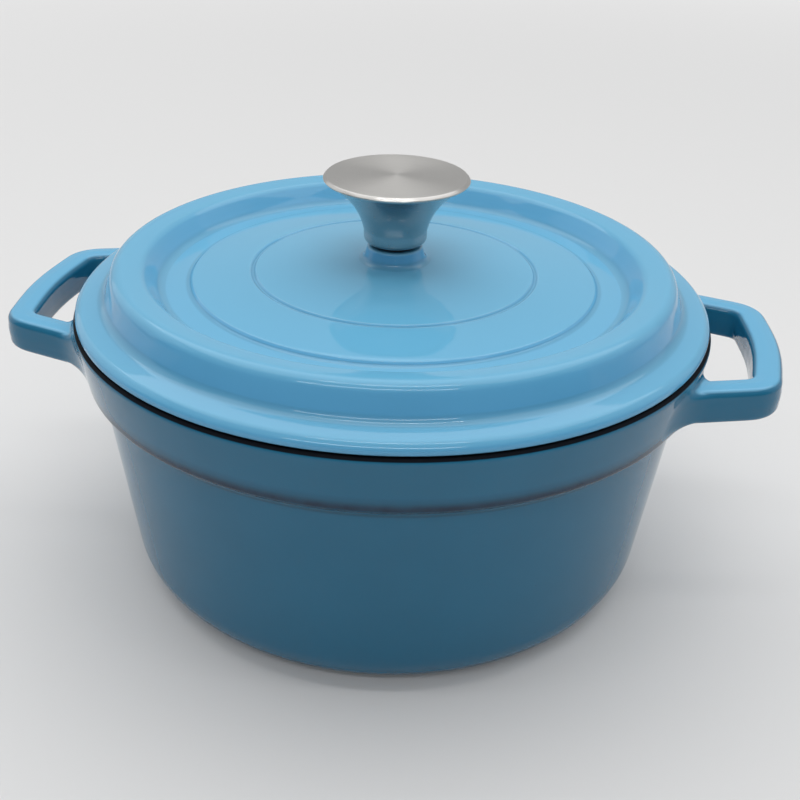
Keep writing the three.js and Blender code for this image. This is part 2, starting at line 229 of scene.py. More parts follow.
@dataclass
class Surface:
    """A closed surface of quads and triangles, with marks at its points. Metres."""

    points: np.ndarray
    quads: np.ndarray
    tris: np.ndarray
    marks: dict[Mark, np.ndarray] = field(default_factory=dict)

    @classmethod
    def from_grid(
        cls,
        grid: np.ndarray,
        wrap_rows: bool,
        poles: np.ndarray | None = None,
        marks: dict[Mark, np.ndarray] | None = None,
    ) -> Surface:
        """A surface over a grid whose columns always wrap round.

        Args:
            grid: places, (rows, columns, 3).
            wrap_rows: whether the last row joins the first.
            poles: the points that close the first and the last row, (2, 3).
            marks: numbers at the grid's points, (rows, columns).

        Returns:
            The closed surface, with its faces pointing out.
        """
        rows, columns = grid.shape[:2]
        index = np.arange(rows * columns).reshape(rows, columns)
        right = np.roll(index, -1, axis=1)
        above, corner = np.roll(index, -1, axis=0), np.roll(right, -1, axis=0)
        last = rows if wrap_rows else rows - 1
        quads = np.stack([index[:last], right[:last], corner[:last], above[:last]], -1)
        points = grid.reshape(-1, 3)
        flat = {mark: values.ravel() for mark, values in (marks or {}).items()}
        tris = np.zeros((0, 3), int)
        if poles is not None:
            start, end = rows * columns, rows * columns + 1
            low = np.stack([right[0], index[0], np.full(columns, start)], 1)
            high = np.stack([index[-1], right[-1], np.full(columns, end)], 1)
            tris = np.concatenate([low, high])
            points = np.concatenate([points, poles])
            flat = {
                mark: np.append(values, [values[0], values[-1]])
                for mark, values in flat.items()
            }
        return cls(points, quads.reshape(-1, 4), tris, flat).outward()

    def outward(self) -> Surface:
        """Turns the faces to point out.

        The sum of a . (b x c) over the triangles is six times the volume, so it is positive then.

        Returns:
            The same surface, or one with every face turned round.
        """
        halves = [self.quads[:, [0, 1, 2]], self.quads[:, [0, 2, 3]], self.tris]
        a, b, c = (self.points[np.concatenate(halves)[:, k]] for k in range(3))
        if np.einsum("ij,ij->", a, np.cross(b, c)) >= 0:
            return self
        return Surface(self.points, self.quads[:, ::-1], self.tris[:, ::-1], self.marks)

    def __add__(self, other: Surface) -> Surface:
        """Joins two surfaces.

        Args:
            other: a surface with the same marks.

        Returns:
            Both as one surface.
        """
        shift = len(self.points)
        marks = {m: np.concatenate([v, other.marks[m]]) for m, v in self.marks.items()}
        return Surface(
            np.concatenate([self.points, other.points]),
            np.concatenate([self.quads, other.quads + shift]),
            np.concatenate([self.tris, other.tris + shift]),
            marks,
        )

    def half_turned(self) -> Surface:
        """The surface turned by half a turn about Z."""
        return Surface(self.points * [-1, -1, 1], self.quads, self.tris, self.marks)

    def to_object(self, name: str) -> bpy.types.Object:
        """Puts the surface into a mesh, with its marks and its upward normals as attributes.

        Args:
            name: the object's and the mesh's name.

        Returns:
            A smooth shaded object at the origin.
        """
        mesh = bpy.data.meshes.new(name)
        loops = np.concatenate([self.quads.ravel(), self.tris.ravel()])
        starts = np.concatenate(
            [
                4 * np.arange(len(self.quads)),
                4 * len(self.quads) + 3 * np.arange(len(self.tris)),
            ]
        )
        mesh.vertices.add(len(self.points))
        mesh.vertices.foreach_set("co", self.points.astype(np.float32).ravel())
        mesh.loops.add(len(loops))
        mesh.loops.foreach_set("vertex_index", loops.astype(np.int32))
        mesh.polygons.add(len(starts))
        mesh.polygons.foreach_set("loop_start", starts.astype(np.int32))
        mesh.update(calc_edges=True)
        mesh.validate()
        mesh.shade_smooth()
        normals = np.empty(3 * len(self.points), np.float32)
        mesh.vertex_normals.foreach_get("vector", normals)
        for mark, values in {**self.marks, Mark.UP: normals[2::3]}.items():
            layer = mesh.attributes.new(mark.value, "FLOAT", "POINT")
            layer.data.foreach_set("value", values.astype(np.float32))
        made = bpy.data.objects.new(name, mesh)
        bpy.context.scene.collection.objects.link(made)
        return made


def revolved(
    outline: Outline, sides: int, marks: dict[Mark, np.ndarray] | None = None
) -> Surface:
    """An outline turned about Z: x = r cos a, y = r sin a, z = z, for an angle a.

    Args:
        outline: in mm. An open one starts and ends on the axis.
        sides: number of steps in a full turn.
        marks: numbers at the outline's points, besides its bend.

    Returns:
        The closed surface, in metres.
    """
    angle = np.linspace(0, 2 * np.pi, sides, endpoint=False)
    places = outline.scaled()
    numbers = {Mark.BEND: outline.bend, **(marks or {})}
    poles = None
    if not outline.closed:
        poles = np.array([[0, 0, places[0, 1]], [0, 0, places[-1, 1]]])
        places = places[1:-1]
        numbers = {mark: values[1:-1] for mark, values in numbers.items()}
    r, z = places[:, :1], places[:, 1:]
    grid = np.stack([r * np.cos(angle), r * np.sin(angle), z + 0 * angle], -1)
    spread = {m: np.repeat(v[:, None], sides, axis=1) for m, v in numbers.items()}
    return Surface.from_grid(grid, outline.closed, poles, spread)


def smooth_step(values: np.ndarray, low: float, high: float) -> np.ndarray:
    """0 below low, 1 above high, and 3t^2 - 2t^3 between."""
    share = np.clip((values - low) / (high - low), 0, 1)
    return share * share * (3 - 2 * share)


# ---- Shader maths --------------------------------------------------------------------------


class Sock:
    """A node's output that Python's operators do maths on."""

    def __init__(self, tree: Tree, socket: bpy.types.NodeSocket) -> None:
        """Wraps a socket of a node in the tree."""
        self.tree = tree
        self.socket = socket

    def _math(self, operation: str, first: Input, second: Input) -> Sock:
        """One Math node."""
        return self.tree.add("ShaderNodeMath", {"operation": operation}, {0: first, 1: second})

    def __add__(self, other: Input) -> Sock:
        """Sum."""
        return self._math("ADD", self, other)

    def __radd__(self, other: Input) -> Sock:
        """Sum, the other way round."""
        return self._math("ADD", other, self)

    def __sub__(self, other: Input) -> Sock:
        """Difference."""
        return self._math("SUBTRACT", self, other)

    def __rsub__(self, other: Input) -> Sock:
        """Difference, the other way round."""
        return self._math("SUBTRACT", other, self)

    def __mul__(self, other: Input) -> Sock:
        """Product."""
        return self._math("MULTIPLY", self, other)

    def __rmul__(self, other: Input) -> Sock:
        """Product, the other way round."""
        return self._math("MULTIPLY", other, self)

    def __pow__(self, other: Input) -> Sock:
        """Power."""
        return self._math("POWER", self, other)

    def step(self, low: float, high: float) -> Sock:
        """0 below low and 1 above high, smooth between.

        Args:
            low: where it leaves 0.
            high: where it reaches 1.

        Returns:
            The step.
        """
        settings = {"interpolation_type": "SMOOTHSTEP", "clamp": True}
        values = {"Value": self, "From Min": low, "From Max": high}
        return self.tree.add("ShaderNodeMapRange", settings, values)


Input: TypeAlias = "Sock | float | int | tuple[float, ...]"


class Tree:
    """The node tree of one material or world, cleared and ready to build in."""

    def __init__(self, owner: bpy.types.Material | bpy.types.World) -> None:
        """Clears the owner's tree.

        Args:
            owner: the material or world.
        """
        owner.use_nodes = True
        self.tree = owner.node_tree
        self.tree.nodes.clear()

    def node(
        self, kind: str, settings: dict | None = None, values: dict | None = None
    ) -> bpy.types.Node:
        """Adds a node.

        Args:
            kind: the node's type.
            settings: its properties, set first.
            values: its sockets by name or number, each a number, a tuple or a Sock.

        Returns:
            The node.
        """
        made = self.tree.nodes.new(kind)
        for name, value in (settings or {}).items():
            setattr(made, name, value)
        for key, value in (values or {}).items():
            socket = made.inputs[key]
            if isinstance(value, Sock):
                self.tree.links.new(value.socket, socket)
            else:
                socket.default_value = value
        return made

    def add(
        self,
        kind: str,
        settings: dict | None = None,
        values: dict | None = None,
        output: str | int = 0,
    ) -> Sock:
        """Adds a node and returns one of its outputs."""
        return Sock(self, self.node(kind, settings, values).outputs[output])

    def mixed(self, factor: Input, first: Input, second: Input) -> Sock:
        """A colour between two, by a factor."""
        values = {0: factor, 6: first, 7: second}
        return self.add("ShaderNodeMix", {"data_type": "RGBA"}, values, output=2)

    def place(self) -> Sock:
        """Object coordinates, which are the model's own place in metres."""
        return self.add("ShaderNodeTexCoord", output="Object")

    def mark(self, mark: Mark) -> Sock:
        """A number that the surface carries."""
        settings = {"attribute_type": "GEOMETRY", "attribute_name": mark.value}
        return self.add("ShaderNodeAttribute", settings, output="Fac")

    def noise(self, place: Sock, size: float, detail: float = 3.0, rough: float = 0.5) -> Sock:
        """Noise from 0 to 1.

        Args:
            place: coordinates in metres.
            size: how far across its grain is, mm.
            detail: how many finer layers it has.
            rough: how strong each finer layer is.

        Returns:
            The noise.
        """
        values = {
            "Vector": place,
            "Scale": 1 / (size * MM),
            "Detail": detail,
            "Roughness": rough,
        }
        return self.add("ShaderNodeTexNoise", values=values, output="Fac")

    def shader(self, values: dict, bump: Sock, depth: float) -> Sock:
        """A Principled shader.

        Args:
            values: its sockets.
            bump: a height from 0 to 1.
            depth: the height's real size, mm.

        Returns:
            The shader's output.
        """
        raised = {"Strength": 1.0, "Distance": depth * MM, "Height": bump}
        values = {**values, "Normal": self.add("ShaderNodeBump", values=raised)}
        return self.add("ShaderNodeBsdfPrincipled", values=values)

    def end(self, shader: Sock) -> None:
        """Ends a material with a shader."""
        self.node("ShaderNodeOutputMaterial", values={"Surface": shader})


def new_material(name: str) -> tuple[bpy.types.Material, Tree]:
    """An empty material and its tree."""
    made = bpy.data.materials.new(name)
    return made, Tree(made)


# ---- Finishes ------------------------------------------------------------------------------

Colour: TypeAlias = tuple[float, float, float, float]


@dataclass(frozen=True)
class EnamelFinish:
    """Glossy vitreous enamel: blue outside, pale inside, matt black on the sealing faces, with
    painted light and shade.

    Sizes are mm, bends are per mm, and shares go from 0 to 1.
    """

    name: str
    blue: Colour
    deep: Colour
    # colour painted on faces that point up, as painted light from above
    top: Colour
    edge: Colour = (0.020, 0.026, 0.022, 1)
    shade: Colour = (0.002, 0.022, 0.056, 1)  # the coat where it ran thinner over the band's foot, darkened as painted shade under the band
    pale: Colour = (0.66, 0.62, 0.53, 1)
    stain: Colour = (0.55, 0.49, 0.38, 1)
    black: Colour = (0.002, 0.0035, 0.007, 1)
    lit_top_from: float = 0.7  # how far a face points up where the painted light of the top colour starts
    lit_top_to: float = 0.97
    edge_share: float = 0.85
    edge_bend: float = 0.6
    edge_blur: float = 0.25
    edge_break: float = 0.3  # how much the patches break up the edge mark: a thinner coat on the pot's edges, a painted highlight on the lid's
    # Hollows darken between these bends: thicker enamel, and painted shade.
    hollow_from: float = 0.08
    hollow_to: float = 0.3
    hollow_share: float = 0.75
    hollow_tint: float = 0.45
    cloud_size: float = 38.0
    cloud_share: float = 0.35
    stain_size: float = 60.0
    stain_share: float = 0.25
    patch_size: float = 6.0
    fine_size: float = 2.6
    peel_size: float = 7.0
    wave_size: float = 30.0
    pit_pitch: float = 9.0
    pit_share: float = 0.5
    gloss: float = 0.035
    ripple: float = 0.05
    ior: float = 1.46
    matt: float = 0.6  # roughness of the black coat
    matt_ior: float = 1.2

    def material(self) -> bpy.types.Material:
        """Builds the coat: clouds in the colour, painted light on faces that point up, thicker
        enamel in hollows with painted shade there, a dark band of thinner coat and painted shade
        under the pot's band, a thinner coat on the pot's edges and a painted highlight on the
        lid's, orange peel.

        Returns:
            The material, which reads the marks that a surface carries.
        """
        made, tree = new_material(self.name)
        place = tree.place()
        bend = tree.mark(Mark.BEND)
        black, pale = tree.mark(Mark.BLACK), tree.mark(Mark.PALE)
        cloud = tree.noise(place, self.cloud_size, 2)
        fine = tree.noise(place, self.fine_size, 2)
        peel = tree.noise(place, self.peel_size, 1)
        wave = tree.noise(place, self.wave_size, 1)
        patch = tree.noise(place, self.patch_size, 3)
        colour = tree.mixed(cloud.step(0.3, 0.7) * self.cloud_share, self.blue, self.deep)
        # Painted light: faces that point up take the top colour, standing in for light from above.
        upward = tree.mark(Mark.UP).step(self.lit_top_from, self.lit_top_to)
        colour = tree.mixed(upward, colour, self.top)
        # Hollows: enamel lies thicker and darker there, deepened as painted shade where shade
        # falls in them.
        pooled_and_shaded = tuple(self.hollow_tint * c for c in self.deep[:3]) + (1,)
        hollow = (0 - bend).step(self.hollow_from, self.hollow_to)
        colour = tree.mixed(hollow * self.hollow_share, colour, pooled_and_shaded)
        # Dark band at the pot's step: a thinner coat over the band's foot, and painted shade under
        # the band.
        colour = tree.mixed(tree.mark(Mark.THIN) * (patch * 0.5 + 0.7), colour, self.shade)
        # Convex edges: on the pot a thinner coat shows darker; on the lid the edge colour is a
        # painted highlight.
        broken = bend + (patch - 0.5) * self.edge_break
        worn_and_highlit_edge = broken.step(self.edge_bend, self.edge_bend + self.edge_blur)
        colour = tree.mixed(worn_and_highlit_edge * self.edge_share, colour, self.edge)
        pits = tree.add(
            "ShaderNodeTexVoronoi",
            {"feature": "F1"},
            {"Vector": place, "Scale": 1 / (self.pit_pitch * MM)},
            "Distance",
        )
        pit = 1 - pits.step(0.012, 0.035)
        colour = tree.mixed(pit * self.pit_share, colour, self.edge)
        stained = tree.noise(place, self.stain_size, 4, 0.6).step(0.45, 0.8)
        inside = tree.mixed(stained * self.stain_share, self.pale, self.stain)
        colour = tree.mixed(pale, colour, inside)
        rough = self.gloss + fine * 0.03 + pale * 0.06
        height = peel * 0.5 + wave * 0.9 + fine * 0.06 - pit * 0.12
        values = {"Base Color": colour, "Roughness": rough, "IOR": self.ior}
        glossy = tree.shader(values, height, self.ripple)
        rough = self.matt + fine * 0.2
        values = {"Base Color": self.black, "Roughness": rough, "IOR": self.matt_ior}
        matt = tree.shader(values, fine, self.ripple)
        tree.end(tree.add("ShaderNodeMixShader", values={0: black, 1: glossy, 2: matt}))
        return made


@dataclass(frozen=True)
class SteelFinish:
    """Steel with the marks of its lathe: rings about the axis and a soft haze."""

    name: str
    colour: Colour
    rough: float
    ring: float = 0.35
    ring_depth: float = 0.004
    ring_share: float = 0.5
    anisotropic: float = 0.0
    grain_turn: float = 0.25  # turn of the stretched highlight, in whole turns
    darker: float = 0.82
    haze_size: float = 9.0
    scratch_size: float = 1.6
    scratch: float = 0.3

    def material(self) -> bpy.types.Material:
        """Builds rings that follow the distance from the axis and the height, haze and scratches.

        Returns:
            The material.
        """
        made, tree = new_material(self.name)
        place = tree.place()
        parts = tree.node("ShaderNodeSeparateXYZ", values={0: place})
        x, y, z = (Sock(tree, parts.outputs[k]) for k in range(3))
        radius = (x * x + y * y) ** 0.5
        along = tree.add("ShaderNodeCombineXYZ", values={0: radius, 1: z, 2: 0.0})
        rings = tree.noise(along, self.ring, 2, 0.6)
        broad = tree.noise(along, self.ring * 7, 2)
        haze = tree.noise(place, self.haze_size, 3)
        marks = tree.noise(place, self.scratch_size, 4, 0.7).step(0.62, 0.72)
        darker = tuple(self.darker * c for c in self.colour[:3]) + (1,)
        colour = tree.mixed(rings * 0.5 + haze * 0.3, self.colour, darker)
        rough = self.rough + (haze - 0.5) * 0.08 + (broad - 0.5) * 0.06 + marks * 0.05
        height = rings * self.ring_share + broad * (1 - self.ring_share) + marks * self.scratch
        values = {
            "Base Color": colour,
            "Metallic": 1.0,
            "Roughness": rough,
            "Anisotropic": self.anisotropic,
            "Anisotropic Rotation": self.grain_turn,
        }
        tree.end(tree.shader(values, height, self.ring_depth))
        return made


@dataclass(frozen=True)
class RubberFinish:
    """Matt heat-proof rubber."""

    name: str
    colour: Colour = (0.012, 0.013, 0.015, 1)
    bloom: Colour = (0.03, 0.032, 0.035, 1)
    grain_size: float = 0.5
    bloom_size: float = 6.0

    def material(self) -> bpy.types.Material:
        """Builds a fine grain with a faint bloom.

        Returns:
            The material.
        """
        made, tree = new_material(self.name)
        place = tree.place()
        grain = tree.noise(place, self.grain_size, 3)
        bloom = tree.noise(place, self.bloom_size, 2)
        colour = tree.mixed(bloom * 0.4, self.colour, self.bloom)
        values = {"Base Color": colour, "Roughness": 0.55 + grain * 0.2, "IOR": 1.45}
        tree.end(tree.shader(values, grain, 0.03))
        return made


@dataclass(frozen=True)
class Finishes:
    """Every finish of the dutch oven, made once."""

    pot_enamel: bpy.types.Material
    lid_enamel: bpy.types.Material
    polished: bpy.types.Material
    spun: bpy.types.Material
    plated: bpy.types.Material
    rubber: bpy.types.Material

    @classmethod
    def made(cls) -> Finishes:
        """Builds the materials."""
        return cls(
            pot_enamel=EnamelFinish(
                "pot_enamel",
                # The pot's blue and deep are a darker copy of the lid's enamel: painted shade on
                # its walls. Its top colour, near the lid's blue, is painted light on faces that
                # point up.
                blue=(0.016, 0.155, 0.28, 1),
                deep=(0.012, 0.130, 0.235, 1),
                top=(0.12, 0.40, 0.62, 1),
            ).material(),
            lid_enamel=EnamelFinish(
                "lid_enamel",
                blue=(0.12, 0.42, 0.70, 1),
                deep=(0.105, 0.375, 0.63, 1),
                top=(0.132, 0.41, 0.62, 1),
                # The lid's edge colour, lighter than its blue, is a painted highlight on its
                # edges; its hollow_share darkens hollows as painted shade.
                edge=(0.24, 0.50, 0.68, 1),
                lit_top_from=0.25,
                edge_share=0.25,
                edge_bend=0.6,
                hollow_share=0.28,
            ).material(),
            polished=SteelFinish(
                "polished_steel", (0.46, 0.47, 0.48, 1), rough=0.24, ring_depth=0.002
            ).material(),
            spun=SteelFinish(
                "spun_steel",
                (0.60, 0.59, 0.57, 1),
                rough=0.30,
                ring=0.30,
                ring_depth=0.006,
                anisotropic=0.8,
            ).material(),
            plated=SteelFinish(
                "plated_steel", (0.62, 0.63, 0.65, 1), rough=0.30, ring=0.6, ring_depth=0.01
            ).material(),
            rubber=RubberFinish("black_rubber").material(),
        )


def dressed(
    piece: bpy.types.Object,
    material: bpy.types.Material,
    body: Body,
    node: str,
) -> None:
    """Finishes a piece for the frame.

    Args:
        piece: the piece's object.
        material: its finish.
        body: the body that it moves with.
        node: the CAD node that it stands for.
    """
    piece.data.materials.append(material)
    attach(piece, body.value)
    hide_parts(node)
    LOG.info("%s: %d faces on %s for %s", piece.name, len(piece.data.polygons), body.value, node)


# ---- Pot -----------------------------------------------------------------------------------


@dataclass(frozen=True)
class LoopHandle:
    """One loop handle along +X: a rounded bar bent to a U in plan, flared at the pot. mm."""

    front: float  # distance of its outer face from the pot's axis
    top: float
    thickness: float = 13.4
    width: float = 11.4
    edge: float = 2.8
    crown: float = 0.25
    bow: float = 3.2  # how far the front bows out past its corners
    corner_y: float = 34.7
    corner_round: float = 11.3
    bow_y: float = 8.5
    bow_round: float = 170.0
    arm_slope: float = 0.312  # how fast the arms close in towards the front
    straight: float = 12.0  # straight length of arm behind the corner
    flare_outside: float = 8.5
    flare_inside: float = 7.0
    flare_above: float = 3.0
    flare_below: float = 4.5
    sink: float = 1.6  # how far inside the pot's face the handle ends
    end_spread: float = 1.1
    skirt_spread: float = 0.22
    skirt_reach: float = 2.4
    skirt_dip: float = 0.012
    ease: float = 1.6
    plan_spacing: float = 0.25
    plan_skip: int = 4
    hidden_rows: int = 4  # rows of the root that lie under the pot's face
    # The roots' rows count as a slight hollow, darkened by the enamel's hollow tint, which is
    # partly painted shade.
    root_bend: float = -0.1
    arc_steps: int = 9
    flat_steps: int = 7
    flare_steps: int = 16
    arm_steps: int = 5

    def section(self) -> tuple[np.ndarray, np.ndarray]:
        """The bar's section as a core rectangle with a round about it.

        Returns:
            The core's points, from -1 to 1, and their unit normals.
        """
        cores, normals = [], []
        signs = np.array([[1, 1], [-1, 1], [-1, -1], [1, -1]], float)
        for quarter in range(4):
            angle = np.pi / 2 * (quarter + np.linspace(0, 1, self.arc_steps))
            normals.append(np.stack([np.cos(angle), np.sin(angle)], 1))
            cores.append(np.repeat(signs[quarter][None], self.arc_steps, axis=0))
            share = np.linspace(0, 1, self.flat_steps + 2)[1:-1, None]
            following = signs[(quarter + 1) % 4]
            cores.append(signs[quarter] * (1 - share) + following * share)
            normals.append(np.repeat(normals[-1][-1:], self.flat_steps, axis=0))
        return np.concatenate(cores), np.concatenate(normals)

    def bar(self) -> tuple[np.ndarray, np.ndarray, np.ndarray]:
        """The bar's section in real size, with its faces crowned.

        Returns:
            Offsets from the bar's middle line, across and up, in mm, unit normals, and the core's
            points.
        """
        core, normal = self.section()
        half = np.array([self.width, self.thickness]) / 2 - self.edge
        swell = self.crown * ((1 - core[:, 0] ** 2) ** 2 + (1 - core[:, 1] ** 2) ** 2)
        offset = core * half + normal * (self.edge + swell[:, None])
        return offset, normal, core

    def plan(self) -> tuple[np.ndarray, np.ndarray]:
        """The bar's middle line in plan, eased with a bell curve.

        Returns:
            Its points, from the rear arm round the front, and its outer unit normals.
        """
        front_x = self.front - self.crown - self.width / 2
        corner_x = front_x - self.bow
        back_x = corner_x - self.straight
        back_y = self.corner_y + self.straight * self.arm_slope
        half = [
            Corner(back_x, back_y),
            Corner(corner_x, self.corner_y, self.corner_round),
            Corner(front_x, self.bow_y, self.bow_round),
        ]
        other = [Corner(c.r, -c.z, c.fillet) for c in reversed(half)]
        rough = rounded(half + other, closed=False)
        steps = np.hypot(*np.diff(rough, axis=0).T)
        length = np.concatenate([[0], np.cumsum(steps)])
        at = np.linspace(0, length[-1], int(length[-1] / self.plan_spacing))
        even = np.stack([np.interp(at, length, rough[:, k]) for k in (0, 1)], 1)
        spacing = at[1]
        reach = int(4 * self.ease / spacing)
        bell = np.exp(-0.5 * (np.arange(-reach, reach + 1) * spacing / self.ease) ** 2)
        first, last = even[1] - even[0], even[-1] - even[-2]
        run = np.arange(1, reach + 1)[:, None]
        wide = np.concatenate([even[0] - run[::-1] * first, even, even[-1] + run * last])
        soft = [np.convolve(wide[:, k], bell / bell.sum(), mode="valid") for k in (0, 1)]
        line = np.stack(soft, 1)[:: self.plan_skip]
        ahead = np.gradient(line, axis=0)
        ahead /= np.linalg.norm(ahead, axis=1)[:, None]
        return line, np.stack([-ahead[:, 1], ahead[:, 0]], 1)

    def root(
        self, start: np.ndarray, side: np.ndarray, heights: np.ndarray, radii: np.ndarray
    ) -> np.ndarray:
        """The rear arm from inside the wall out to the start of the plan's middle line.

        Every line of the arm is straight. Near the pot, a point at angle p of a round of radius f
        stands f (1 - cos p) off the pot's face and f (1 - sin p) off the arm's own face, so the
        arm leaves the pot's face and joins its own face without a crease. Before that, rows at
        b = 1, 2/3 and 1/3 spread to flare (1 + skirt_spread b) and lie skirt_dip (skirt_reach b)^2
        under the pot's face, and the first row of all lies sink inside it.

        Args:
            start: the first point of the middle line.
            side: the outer normal there.
            heights: heights of the pot's outer face, mm, rising.
            radii: the pot's outer radius at those heights.

        Returns:
            Places in mm, (rows, columns, 3).
        """
        offset, normal, _ = self.bar()
        ahead = np.array([side[1], -side[0]])
        out, up = np.maximum(normal, 0).T ** 2
        back, down = np.maximum(-normal, 0).T ** 2
        flare = (
            out * self.flare_outside
            + back * self.flare_inside
            + up * self.flare_above
            + down * self.flare_below
        )
        angle = np.linspace(0, np.pi / 2, self.flare_steps)[:, None]
        stand_off = flare * (1 - np.cos(angle))
        spread = flare * (1 - np.sin(angle))
        beyond = np.array([[1.0], [0.66], [0.33]])
        level = 0 * flare[None]
        dip = self.skirt_dip * (beyond * self.skirt_reach) ** 2
        under = np.concatenate([level - self.sink, level - dip])
        skirt = flare * (1 + self.skirt_spread * beyond)
        wide = np.concatenate([flare[None] * self.end_spread, skirt])
        stand_off = np.concatenate([under, stand_off])
        spread = np.concatenate([wide, spread])
        across = offset[:, 0] + spread * normal[:, 0]
        height = self.top - self.thickness / 2 + offset[:, 1] + spread * normal[:, 1]
        place = start + across[..., None] * side
        reach = np.interp(height, heights, radii) + stand_off
        towards = place @ ahead
        inside = np.sum(place**2, axis=-1) - reach**2
        travel = np.sqrt(towards**2 - inside) - towards
        share = np.linspace(0, 1, self.arm_steps + 2)[1:-1, None]
        travel = np.concatenate([travel, travel[-1] * (1 - share)])
        keep = np.minimum(np.arange(len(travel)), len(place) - 1)
        plan = place[keep] + travel[..., None] * ahead
        return np.concatenate([plan, height[keep][..., None]], axis=-1)

    def surface(self, heights: np.ndarray, radii: np.ndarray) -> Surface:
        """The whole handle, closed inside the pot's wall.

        Args:
            heights: heights of the pot's outer face, mm, rising.
            radii: the pot's outer radius at those heights.

        Returns:
            The handle along +X.
        """
        offset, _, core = self.bar()
        line, side = self.plan()
        middle = self.top - self.thickness / 2
        plan = line[:, None] + offset[None, :, :1] * side[:, None]
        up = np.broadcast_to(middle + offset[:, 1], plan.shape[:2])
        loop = np.concatenate([plan, up[..., None]], axis=-1)
        rear = self.root(line[0], side[0], heights, radii)
        front = rear[::-1] * [1, -1, 1]
        grid = np.concatenate([rear, loop, front])
        edges = (np.abs(core).min(axis=1) > 0.999) / self.edge
        rows = len(grid)
        ends = np.minimum(np.arange(rows), np.arange(rows)[::-1])
        first = self.hidden_rows
        share = smooth_step(ends.astype(float), first, first + self.flare_steps)[:, None]
        bend = edges * share + self.root_bend * (1 - share)
        poles = np.stack([grid[0].mean(axis=0), grid[-1].mean(axis=0)])
        zero = np.zeros_like(bend)
        marks = {Mark.BEND: bend, Mark.BLACK: zero, Mark.PALE: zero, Mark.THIN: zero}
        return Surface.from_grid(grid * MM, False, poles * MM, marks)


@dataclass(frozen=True)
class Pot:
    """The pot: a thick banded wall on a heavy base, with its two loop handles. mm."""

    rim_radius: float
    height: float
    reach: float
    rim_width: float = 6.4
    rim_round: float = 1.9
    rim_eased: float = 0.2  # what easing the outline takes off the rim's radius
    black_depth: float = 0.85  # how far the black coat runs down from the rim
    black_blur: float = 0.3
    band_height: float = 22.1
    band_draft: float = 4.0
    band_step: float = 5.0
    step_height: float = 3.6
    step_round: float = 4.6
    band_edge: float = 1.5
    wall: float = 3.6
    wall_draft: float = 12.2
    heel: float = 20.8
    base: float = 4.6
    thin_rise: float = 1.0  # middle of the dark band of thinner coat and painted shade, above the band's foot
    thin_width: float = 2.7
    mouth_draft: float = 0.7
    foot_inner: float = 62.0
    foot_ramp: float = 4.0
    foot_round: float = 3.0
    foot_recess: float = 0.6
    handle_drop: float = 5.1
    ease: float = 0.45
    step: float = 7.0
    turn: float = 0.09
    dense_from: float = 86.0  # heights between which the outline has extra points
    dense_to: float = 96.0
    dense: float = 1.5
    sides: int = 320

    @classmethod
    def from_frame(cls) -> Pot:
        """Takes the overall sizes from the CAD pot.

        Returns:
            The pot.
        """
        _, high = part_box("pot")
        rim_radius = high.y / MM + cls.rim_eased
        return cls(rim_radius=rim_radius, height=high.z / MM, reach=high.x / MM)

    def outline(self) -> Outline:
        """The section of the wall.

        Returns:
            An open outline, from the middle of the base outside to the middle inside.
        """
        mouth = self.rim_radius - self.rim_width
        band_z = self.height - self.band_height
        band_r = self.rim_radius - self.band_draft
        wall_z = band_z - self.step_height
        wall_r = band_r - self.band_step
        foot_r = wall_r - self.wall_draft
        corners = [
            Corner(0, self.foot_recess),
            Corner(self.foot_inner, self.foot_recess, self.foot_round),
            Corner(self.foot_inner + self.foot_ramp, 0, self.foot_round),
            Corner(foot_r, 0, self.heel),
            Corner(wall_r, wall_z, self.step_round),
            Corner(band_r, band_z, self.band_edge),
            Corner(self.rim_radius, self.height, self.rim_round),
            Corner(mouth, self.height, self.rim_round),
            Corner(mouth - self.mouth_draft, band_z + self.step_height, self.step_round),
            Corner(wall_r - self.wall, wall_z - self.step_height, self.step_round),
            Corner(foot_r - self.wall, self.base, self.heel - self.wall),
            Corner(0, self.base),
        ]
        return Outline.eased(corners, closed=False, spread=self.ease)

    def surface(self) -> Surface:
        """The body and both handles, with their coats marked.

        The dark band under the pot's band, a thinner coat with painted shade, is a bell curve of
        the height about the foot of the band.

        Returns:
            One surface.
        """
        smooth = self.outline()
        top = int(np.argmax(smooth.points[:, 1]))
        outer = smooth.points[:top]
        side = outer[outer[:, 1] > self.heel]
        order = np.argsort(side[:, 1])
        heights = smooth.points[:, 1]
        banded = (heights > self.dense_from) & (heights < self.dense_to)
        kept = smooth.picked(coarse=self.step, turn=self.turn, extra=banded * self.dense)
        r, z = kept.points.T
        middle = self.rim_radius - self.rim_width / 2
        rim = int(np.argmin(np.hypot(r - middle, z - self.height)))
        black_z = self.height - self.black_depth
        black = smooth_step(z, black_z - self.black_blur, black_z)
        pale = (np.arange(len(r)) > rim) * (1 - black)
        band_z = self.height - self.band_height
        thin = np.exp(-(((z - band_z - self.thin_rise) / self.thin_width) ** 2)) * (1 - pale)
        marks = {Mark.BLACK: black, Mark.PALE: pale, Mark.THIN: thin}
        body = revolved(kept, self.sides, marks)
        handle = LoopHandle(front=self.reach, top=self.height - self.handle_drop)
        loop = handle.surface(side[order, 1], side[order, 0])
        return body + loop + loop.half_turned()

    def build(self, finishes: Finishes) -> None:
        """Makes and dresses the pot."""
        piece = self.surface().to_object("enamelled_pot")
        dressed(piece, finishes.pot_enamel, Body.POT, "pot")


# ---- Lid -----------------------------------------------------------------------------------


